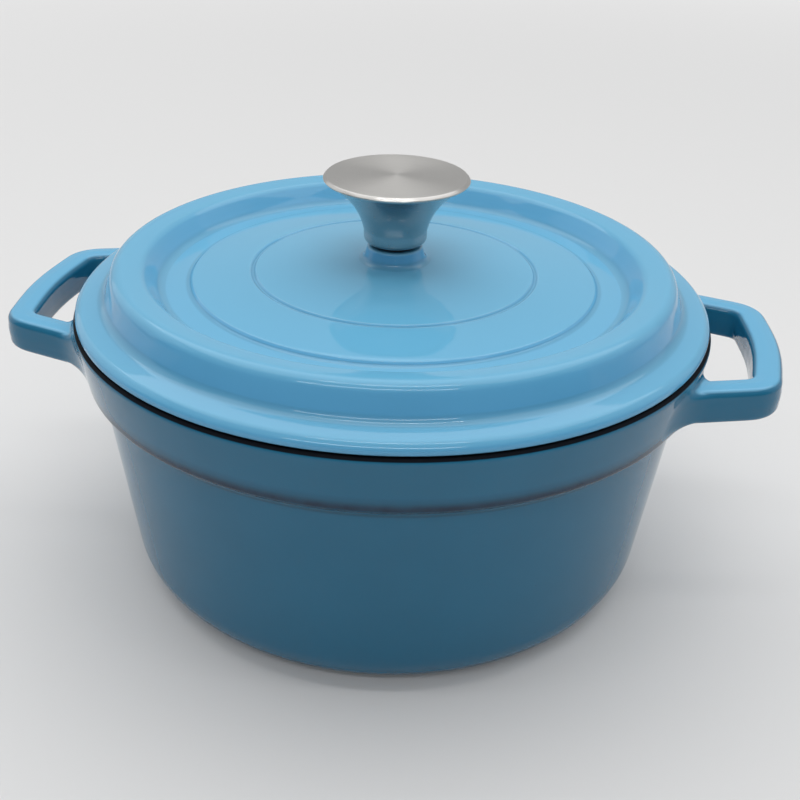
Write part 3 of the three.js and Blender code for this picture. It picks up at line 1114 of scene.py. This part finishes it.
@dataclass(frozen=True)
class Lid:
    """The lid: a flange, a raised ring, a moat, stepped discs and a boss. mm."""

    radius: float
    seat: float
    hole: float = 3.4
    wall: float = 3.8
    flange: float = 4.5
    flange_width: float = 11.2
    flange_rise: float = 1.8
    ring_height: float = 18.7
    ring_slope: float = 3.8
    ring_top: float = 11.5
    ring_inner_slope: float = 6.2
    moat_width: float = 12.6
    moat_height: float = 8.8
    moat_rise: float = 1.2
    disc_step: float = 1.4
    panel_width: float = 22.5
    panel_rise: float = 2.1
    groove_width: float = 2.2
    groove_depth: float = 0.8
    centre_rise: float = 4.2
    boss_radius: float = 10.8
    boss_foot: float = 1.6
    boss_height: float = 5.6
    spigot_depth: float = 6.0
    spigot_width: float = 4.0
    spigot_inset: float = 6.0
    edge_drop: float = 1.9  # the flange's outer edge: where its two rounds start
    edge_round: float = 2.4
    edge_width: float = 2.0
    edge_rise: float = 0.1
    edge_top_round: float = 3.4
    black_outer: float = 5.8  # how far in from the edge the black coat below fades out
    black_inner: float = 6.6
    black_low: float = 0.2  # heights above the seat between which it fades out
    black_high: float = 0.8
    pad_radius: float = 12.0
    pad_height: float = 1.4
    bump_radius: float = 3.4
    bump_height: float = 1.7
    bump_pitch: float = 14.0
    bump_first: float = 28.0
    bump_rows: int = 4
    bumps_from: float = 22.0  # radii between which the underside has extra points
    bumps_to: float = 78.0
    bump_step: float = 1.6
    ease: float = 0.3
    step: float = 7.0
    turn: float = 0.13
    sides: int = 320

    @classmethod
    def from_frame(cls) -> Lid:
        """Takes the radius and the seat's height from the CAD lid."""
        low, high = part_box("lid")
        return cls(radius=high.y / MM, seat=low.z / MM + cls.spigot_depth)

    def outline(self) -> Outline:
        """The lid's section.

        Returns:
            A closed outline: out along the underside, round the edge, and back in over the top.
        """
        seat, wall = self.seat, self.wall
        flange_z = seat + self.flange
        ring_r = self.radius - self.flange_width
        ring_out = ring_r - self.ring_slope
        ring_in = ring_out - self.ring_top
        moat_r = ring_in - self.ring_inner_slope
        disc_r = moat_r - self.moat_width
        groove_out = disc_r - self.panel_width
        groove_in = groove_out - self.groove_width
        ring_z = seat + self.ring_height
        moat_z = seat + self.moat_height
        disc_z = moat_z + self.moat_rise + self.disc_step
        panel_z = disc_z + self.panel_rise
        centre_z = panel_z + self.centre_rise
        boss_z = centre_z + self.boss_height
        spigot = self.radius - self.spigot_inset
        pad_z = centre_z - wall - self.pad_height
        corners = [
            Corner(self.hole, pad_z),
            Corner(self.pad_radius, pad_z, 0.7),
            Corner(self.pad_radius + self.pad_height, centre_z - wall, 0.9),
            Corner(groove_in, panel_z - wall, 20),
            Corner(disc_r, disc_z - wall, wall),
            Corner((moat_r + disc_r) / 2, moat_z - wall, wall),
            Corner(moat_r + wall / 2, moat_z - wall, wall),
            Corner(ring_in + wall / 2, ring_z - wall, 2.5),
            Corner(ring_out - wall / 2, ring_z - wall, 2.5),
            Corner(ring_r - wall, seat, wall),
            Corner(spigot - self.spigot_width, seat - self.spigot_depth, 1.3),
            Corner(spigot, seat - self.spigot_depth, 1.3),
            Corner(spigot + 0.3, seat, 0.6),
            Corner(self.radius, seat, 1.0),
            Corner(self.radius, flange_z - self.edge_drop, self.edge_round),
            Corner(self.radius - self.edge_width, flange_z + self.edge_rise, self.edge_top_round),
            Corner(ring_r, flange_z + self.flange_rise, 4.2),
            Corner(ring_out, ring_z, 4.6),
            Corner(ring_in, ring_z - self.disc_step, 4.6),
            Corner(moat_r, moat_z, 4.2),
            Corner(disc_r + 0.8 * self.disc_step, moat_z + self.moat_rise, 1.1),
            Corner(disc_r, disc_z, 1.1),
            Corner(groove_out, panel_z, 0.5),
            Corner(groove_out - self.groove_width / 3, panel_z - self.groove_depth, 0.5),
            Corner(groove_in + self.groove_width / 3, panel_z - self.groove_depth, 0.5),
            Corner(groove_in, panel_z + self.groove_depth / 4, 0.5),
            Corner(self.boss_radius + self.boss_foot, centre_z, 3.0),
            Corner(self.boss_radius, boss_z, 1.0),
            Corner(self.hole, boss_z),
        ]
        return Outline.eased(corners, closed=True, spread=self.ease)

    def surface(self) -> Surface:
        """The lid, with its coats marked and domes under it that let condensed steam drip back.

        Returns:
            One surface.
        """
        smooth = self.outline()
        r, z = smooth.points.T
        rim = int(np.argmax(r))
        bumpy = (np.arange(len(r)) < rim) & (r > self.bumps_from) & (r < self.bumps_to)
        kept = smooth.picked(coarse=self.step, turn=self.turn, extra=bumpy / self.bump_step)
        r, z = kept.points.T
        rim = int(np.argmax(r))
        under = np.arange(len(r)) < rim
        seat = smooth_step(r, self.radius - self.black_inner, self.radius - self.black_outer)
        above = smooth_step(z, self.seat + self.black_low, self.seat + self.black_high)
        black = under * seat * (1 - above)
        pale = under * (1 - seat)
        lid = revolved(kept, self.sides, {Mark.BLACK: black, Mark.PALE: pale})
        return self.bumped(lid)

    def bumped(self, lid: Surface) -> Surface:
        """Pushes rings of domes down from the underside.

        Ring k has radius first + k pitch and about one dome per pitch of its length. A point at
        distance d from the nearest dome's middle drops by height (1 - d^2 / radius^2)^2.

        Args:
            lid: the plain lid, which is changed.

        Returns:
            The same surface.
        """
        x, y, _ = (lid.points / MM).T
        r, angle = np.hypot(x, y), np.arctan2(y, x)
        ring = np.clip(np.round((r - self.bump_first) / self.bump_pitch), 0, self.bump_rows - 1)
        ring_r = self.bump_first + ring * self.bump_pitch
        count = np.round(2 * np.pi * ring_r / self.bump_pitch)
        turn = angle / (2 * np.pi) * count + ring / 2
        along = (turn - np.round(turn)) * 2 * np.pi / count * ring_r
        near = np.clip(1 - (along**2 + (r - ring_r) ** 2) / self.bump_radius**2, 0, 1)
        drop = self.bump_height * near**2 * (lid.marks[Mark.PALE] > 0.5)
        lid.points[:, 2] -= drop * MM
        return lid

    def build(self, finishes: Finishes) -> None:
        """Makes and dresses the lid."""
        piece = self.surface().to_object("enamelled_lid")
        dressed(piece, finishes.lid_enamel, Body.LID, "lid")


# ---- Knob ----------------------------------------------------------------------------------


@dataclass(frozen=True)
class Knob:
    """The knob: a flared shell with a spun cap, on a gasket. mm."""

    foot: float
    lip: float
    lip_radius: float
    cap_radius: float
    cap_top: float
    gasket_low: float
    gasket_high: float
    gasket_radius: float
    gasket_inset: float = 0.6
    neck_radius: float = 12.5
    neck_draft: float = 0.1
    foot_round: float = 4.8
    foot_height: float = 5.4
    wall: float = 1.2
    hole: float = 3.4
    cap_edge: float = 2.2
    cap_bevel: float = 1.1
    cap_crown: float = 0.35
    plug_depth: float = 2.4
    plug_radius: float = 20.0
    plug_wall: float = 1.6
    flare_points: int = 24
    flare_share: float = 0.65
    flare_power: float = 2.5
    step: float = 2.0
    sides: int = 192

    @classmethod
    def from_frame(cls) -> Knob:
        """Takes heights and radii from the CAD shell, cap and gasket.

        Returns:
            The knob.
        """
        shell_low, shell_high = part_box("knob_shell")
        _, cap_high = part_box("knob_cap")
        gasket_low, gasket_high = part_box("knob_gasket")
        return cls(
            foot=shell_low.z / MM,
            lip=shell_high.z / MM,
            lip_radius=shell_high.x / MM,
            cap_radius=cap_high.x / MM,
            cap_top=cap_high.z / MM,
            gasket_low=gasket_low.z / MM,
            gasket_high=gasket_high.z / MM,
            gasket_radius=gasket_high.x / MM - cls.gasket_inset,
        )

    def flare(self) -> list[tuple[float, float]]:
        """The shell's outside: at share s of its height it has grown by (1 - a) s + a s^power.

        Returns:
            Radius and height of each point, from neck to lip.
        """
        share = np.linspace(0, 1, self.flare_points)
        grown = (1 - self.flare_share) * share + self.flare_share * share**self.flare_power
        radius = self.neck_radius + (self.lip_radius - self.neck_radius) * grown
        height = self.foot + self.foot_height + (self.lip - self.foot - self.foot_height) * share
        return list(zip(radius.tolist(), height.tolist()))

    def shell(self) -> Surface:
        """The flared shell.

        Returns:
            A surface that is closed over the shell's wall.
        """
        outside = self.flare()
        inside = [(r - self.wall, z) for r, z in outside[:-1]][::-1]
        floor = self.foot + self.wall
        foot_r = self.neck_radius - self.neck_draft
        corners = [
            Corner(self.hole, self.foot),
            Corner(foot_r, self.foot, self.foot_round),
            *[Corner(r, z) for r, z in outside[:-1]],
            Corner(*outside[-1], 0.3),
            Corner(self.lip_radius - self.wall, self.lip, 0.3),
            *[Corner(r, z) for r, z in inside],
            Corner(foot_r - self.wall, floor, self.foot_round - self.wall),
            Corner(self.hole, floor),
        ]
        smooth = Outline.eased(corners, closed=True, spread=0.25, spacing=0.05)
        return revolved(smooth.picked(coarse=self.step, turn=0.12), self.sides)

    def cap(self) -> Surface:
        """The cap: a crowned disc with a bevelled edge, and a ring below that centres it.

        Returns:
            One surface.
        """
        low = self.cap_top - self.cap_edge
        plug = low - self.plug_depth
        plug_inner = self.plug_radius - self.plug_wall
        corners = [
            Corner(0, low),
            Corner(plug_inner, low, 0.3),
            Corner(plug_inner, plug, 0.3),
            Corner(self.plug_radius, plug, 0.3),
            Corner(self.plug_radius, low, 0.3),
            Corner(self.cap_radius - self.cap_bevel / 2, low, 0.4),
            Corner(self.cap_radius, low + self.cap_bevel / 2, 0.4),
            Corner(self.cap_radius, self.cap_top - self.cap_crown - self.cap_bevel, 0.5),
            Corner(self.cap_radius - self.cap_bevel, self.cap_top - self.cap_crown, 0.5),
            Corner(self.cap_radius * 0.5, self.cap_top - 0.3 * self.cap_crown, 40),
            Corner(0, self.cap_top),
        ]
        smooth = Outline.eased(corners, closed=False, spread=0.15, spacing=0.04)
        return revolved(smooth.picked(coarse=self.step, turn=0.14), self.sides)

    def gasket(self) -> Surface:
        """The rubber ring between the boss and the knob.

        Returns:
            One surface.
        """
        corners = [
            Corner(self.hole, self.gasket_low, 0.2),
            Corner(self.gasket_radius, self.gasket_low, 0.35),
            Corner(self.gasket_radius, self.gasket_high, 0.35),
            Corner(self.hole, self.gasket_high, 0.2),
        ]
        smooth = Outline.eased(corners, closed=True, spread=0.05, spacing=0.02)
        return revolved(smooth.picked(coarse=self.step, turn=0.3), self.sides // 2)

    def build(self, finishes: Finishes) -> None:
        """Makes and dresses the shell, the cap and the gasket.

        Args:
            finishes: the dutch oven's materials.
        """
        shell = self.shell().to_object("knob_body")
        dressed(shell, finishes.polished, Body.LID, "knob_shell")
        cap = self.cap().to_object("knob_top")
        dressed(cap, finishes.spun, Body.LID, "knob_cap")
        gasket = self.gasket().to_object("knob_seal")
        dressed(gasket, finishes.rubber, Body.LID, "knob_gasket")


# ---- Fastening -----------------------------------------------------------------------------


@dataclass(frozen=True)
class Fastening:
    """The screw from below with its flat and spring washers, and the insert in the knob. mm."""

    hole: float = 3.4
    edge: float = 0.25
    split: float = 1.4
    rise: float = 0.35  # how far the spring washer's ends stand apart
    shank: float = 3.0
    head_height: float = 4.0
    pitch: float = 1.0
    thread_depth: float = 0.45
    recess_arm: float = 3.2
    recess_width: float = 1.3
    recess_depth: float = 2.0
    wire_points: int = 24
    wire_power: float = 0.35  # 1 gives the spring's wire an oval section, and 0 a square one
    step: float = 2.0
    sides: int = 96

    def washer(self) -> Surface:
        """The flat washer, with rounded edges.

        Returns:
            One surface.
        """
        low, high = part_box("flat_washer")
        bottom, top, outer = low.z / MM, high.z / MM, high.x / MM
        corners = [
            Corner(self.hole, bottom, self.edge),
            Corner(outer, bottom, self.edge),
            Corner(outer, top, self.edge),
            Corner(self.hole, top, self.edge),
        ]
        smooth = Outline.eased(corners, closed=True, spread=0.05, spacing=0.02)
        return revolved(smooth.picked(coarse=self.step, turn=0.3), self.sides)

    def spring(self) -> Surface:
        """The spring washer: a rectangular wire carried nearly once round a flat helix.

        At share s of the turn, the wire is at angle gap / 2 + s (full turn - gap), and its middle
        rises by rise (s - 1/2).

        Returns:
            One surface, closed at both ends of the wire.
        """
        low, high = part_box("spring_washer")
        outer = high.x / MM
        bottom, top = low.z / MM, high.z / MM
        half_height = (top - bottom - self.rise) / 2
        half_width = (outer - self.hole) / 2
        gap = self.split / outer
        share = np.linspace(0, 1, self.sides)[:, None]
        angle = gap / 2 + share * (2 * np.pi - gap)
        corner = np.linspace(0, 2 * np.pi, self.wire_points, endpoint=False)
        cos, sin = np.cos(corner), np.sin(corner)
        across = np.sign(cos) * np.abs(cos) ** self.wire_power * half_width
        up = np.sign(sin) * np.abs(sin) ** self.wire_power * half_height
        r = (outer + self.hole) / 2 + across
        z = (top + bottom) / 2 + up + self.rise * (share - 0.5)
        grid = np.stack([r * np.cos(angle), r * np.sin(angle), z], -1)
        poles = np.stack([grid[0].mean(axis=0), grid[-1].mean(axis=0)])
        marks = {Mark.BEND: np.zeros(grid.shape[:2])}
        return Surface.from_grid(grid * MM, False, poles * MM, marks)

    def screw(self) -> Surface:
        """The screw: a domed head with a cross recess below, and a threaded shank above.

        The shank's radius is shank - depth (1 - saw), where saw is a triangle wave of the height
        less the angle's share of the pitch. In the recess, the head's face rises by depth times
        the product of a bar's and the head's own soft steps.

        Returns:
            One surface.
        """
        low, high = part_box("lid_screw")
        bottom, tip, head = low.z / MM, high.z / MM, high.x / MM
        shoulder = bottom + self.head_height
        corners = [
            Corner(0, bottom),
            Corner(head, bottom, self.head_height * 0.7),
            Corner(head, shoulder, 0.3),
            Corner(self.shank, shoulder, 0.2),
            Corner(self.shank, tip - 1, 0.2),
            Corner(self.shank * 0.65, tip, 0.2),
            Corner(0, tip),
        ]
        smooth = Outline.eased(corners, closed=False, spread=0.06, spacing=0.03)
        r, z = smooth.points.T
        dense = (r > self.shank * 0.9) & (z > shoulder) | (r < 4) & (z < shoulder)
        kept = smooth.picked(coarse=1.5, turn=0.2, extra=dense / 0.12)
        made = revolved(kept, self.sides)
        x, y, z = (made.points / MM).T
        r, angle = np.hypot(x, y), np.arctan2(y, x)
        turn = z / self.pitch - angle / (2 * np.pi)
        saw = np.abs(2 * (turn - np.floor(turn)) - 1)
        on_shank = smooth_step(z, shoulder + 0.5, shoulder + 1.5) * smooth_step(r, 1, 2.9)
        shrink = 1 - on_shank * self.thread_depth * (1 - saw) / np.maximum(r, 1)
        along = np.maximum(np.abs(x), np.abs(y))
        narrow = np.minimum(np.abs(x), np.abs(y))
        bar = 1 - smooth_step(narrow, self.recess_width / 2 - 0.1, self.recess_width / 2 + 0.2)
        reach = 1 - smooth_step(along, self.recess_arm - 1.4, self.recess_arm)
        rise = self.recess_depth * bar * reach * (z < bottom + 2)
        made.points[:, 0] *= shrink
        made.points[:, 1] *= shrink
        made.points[:, 2] += rise * MM
        return made

    def build(self, finishes: Finishes, nodes: dict[str, bpy.types.Object]) -> None:
        """Makes and dresses the screw and washers, and dresses the CAD insert.

        Args:
            finishes: the dutch oven's materials.
            nodes: the CAD objects by name.
        """
        plated = finishes.plated
        flat = self.washer().to_object("washer_flat")
        dressed(flat, plated, Body.LID, "flat_washer")
        spring = self.spring().to_object("washer_spring")
        dressed(spring, plated, Body.LID, "spring_washer")
        screw = self.screw().to_object("screw")
        dressed(screw, plated, Body.LID, "lid_screw")
        insert = nodes["knob_insert"]
        insert.data.materials.clear()
        insert.data.materials.append(plated)
        LOG.info("knob_insert: CAD node with plated steel")


# ---- Studio --------------------------------------------------------------------------------


@dataclass(frozen=True)
class SoftLight:
    """A rectangular light: its place, the point it faces, its size in metres, and its power."""

    name: str
    place: tuple[float, float, float]
    aim: tuple[float, float, float]
    size: tuple[float, float]
    power: float

    def build(self) -> None:
        """Adds the light, hidden from the camera itself."""
        data = bpy.data.lights.new(self.name, "AREA")
        data.shape = "RECTANGLE"
        data.size, data.size_y = self.size
        data.energy = self.power
        light = bpy.data.objects.new(self.name, data)
        light.location = self.place
        way = np.array(self.aim) - np.array(self.place)
        light.rotation_mode = "QUATERNION"
        light.rotation_quaternion = Vector(way.tolist()).to_track_quat("-Z", "Y")
        light.visible_camera = False
        bpy.context.scene.collection.objects.link(light)


@dataclass(frozen=True)
class Studio:
    """A pale floor, soft lights from above and behind, a dim front, and the camera."""

    floor_radius: float = 6.0
    floor_sides: int = 64
    floor_gap: float = 0.0001
    fade_start: float = 0.35  # distances where the floor starts and stops fading to the back
    fade_end: float = 2.2
    background: float = 0.90
    floor_colour: Colour = (0.70, 0.70, 0.70, 1)
    camera_place: tuple[float, float, float] = (0.06444, -0.44497, 0.30874)
    camera_turn: tuple[float, float, float] = (61.775, -1.640, 8.617)
    lens: float = 54.307
    sensor: float = 36.0
    lights: tuple[SoftLight, ...] = (
        SoftLight("overhead", (0.0, 0.35, 1.6), (0, 0, 0.1), (2.8, 1.9), 20.0),
        SoftLight("left_wall", (-1.5, 0.5, 0.7), (0, 0, 0.1), (1.4, 1.3), 2.6),
        SoftLight("right_wall", (1.5, 0.4, 0.7), (0, 0, 0.1), (1.4, 1.3), 1.4),
        SoftLight("window", (0.05, -1.15, 1.25), (0, 0, 0.12), (1.5, 0.12), 5.0),
        SoftLight("tube", (0.05, -0.42, 1.6), (0, 0, 0.12), (1.0, 0.05), 2.4),
    )

    def floor(self) -> None:
        """A large flat disc under the pot."""
        angle = np.linspace(0, 2 * np.pi, self.floor_sides, endpoint=False)
        ring = np.stack([np.cos(angle), np.sin(angle), 0 * angle], 1) * self.floor_radius
        ring[:, 2] = -self.floor_gap
        mesh = bpy.data.meshes.new("floor")
        mesh.from_pydata(ring.tolist(), [], [list(range(self.floor_sides))])
        made, tree = new_material("floor_paper")
        grain = tree.noise(tree.place(), 4, 2)
        parts = tree.node("ShaderNodeSeparateXYZ", values={0: tree.place()})
        x, y = Sock(tree, parts.outputs[0]), Sock(tree, parts.outputs[1])
        far = ((x * x + y * y) ** 0.5).step(self.fade_start, self.fade_end)
        seen = tree.add("ShaderNodeLightPath", output="Is Camera Ray")
        values = {"Color": (1, 1, 1, 1), "Strength": self.background}
        haze = tree.add("ShaderNodeEmission", values=values)
        values = {"Base Color": self.floor_colour, "Roughness": 0.85}
        paper = tree.shader(values, grain, 0.02)
        mix = {0: seen * (0.08 + far * 0.9), 1: paper, 2: haze}
        tree.end(tree.add("ShaderNodeMixShader", values=mix))
        mesh.materials.append(made)
        floor = bpy.data.objects.new("floor", mesh)
        bpy.context.scene.collection.objects.link(floor)

    def surroundings(self) -> None:
        """A room that is pale behind and above and dim in front, and plain where it is seen."""
        world = bpy.data.worlds.new("room")
        bpy.context.scene.world = world
        tree = Tree(world)
        way = tree.add("ShaderNodeTexCoord", output="Generated")
        parts = tree.node("ShaderNodeSeparateXYZ", values={0: way})
        y, z = Sock(tree, parts.outputs[1]), Sock(tree, parts.outputs[2])
        back = y.step(-0.35, 0.75)
        above = z.step(0.2, 1.0)
        light = 0.10 + back * 0.42 + above * 0.30
        seen = tree.add("ShaderNodeLightPath", output="Is Camera Ray")
        strength = light * (1 - seen) + seen * self.background
        shader = tree.add(
            "ShaderNodeBackground", values={"Color": (1, 1, 1, 1), "Strength": strength}
        )
        tree.node("ShaderNodeOutputWorld", values={"Surface": shader})

    def camera(self) -> None:
        """The camera at its viewing angle."""
        data = bpy.data.cameras.new("camera")
        data.lens = self.lens
        data.sensor_width = self.sensor
        data.clip_start = 0.01
        camera = bpy.data.objects.new("camera", data)
        camera.location = self.camera_place
        camera.rotation_euler = [math.radians(turn) for turn in self.camera_turn]
        bpy.context.scene.collection.objects.link(camera)
        bpy.context.scene.camera = camera

    def build(self) -> None:
        """Sets up the studio."""
        bpy.context.scene.view_settings.view_transform = "Standard"
        self.camera()
        self.floor()
        self.surroundings()
        for light in self.lights:
            light.build()


# ---- Assembly ------------------------------------------------------------------------------


def main() -> None:
    """Builds the studio, then the pot, the lid, the knob and its fastening."""
    logging.basicConfig(level=logging.INFO, format="%(name)s: %(message)s")
    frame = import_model()
    Studio().build()
    finishes = Finishes.made()
    Pot.from_frame().build(finishes)
    Lid.from_frame().build(finishes)
    Knob.from_frame().build(finishes)
    Fastening().build(finishes, frame["nodes"])


if __name__ == "__main__":
    main()
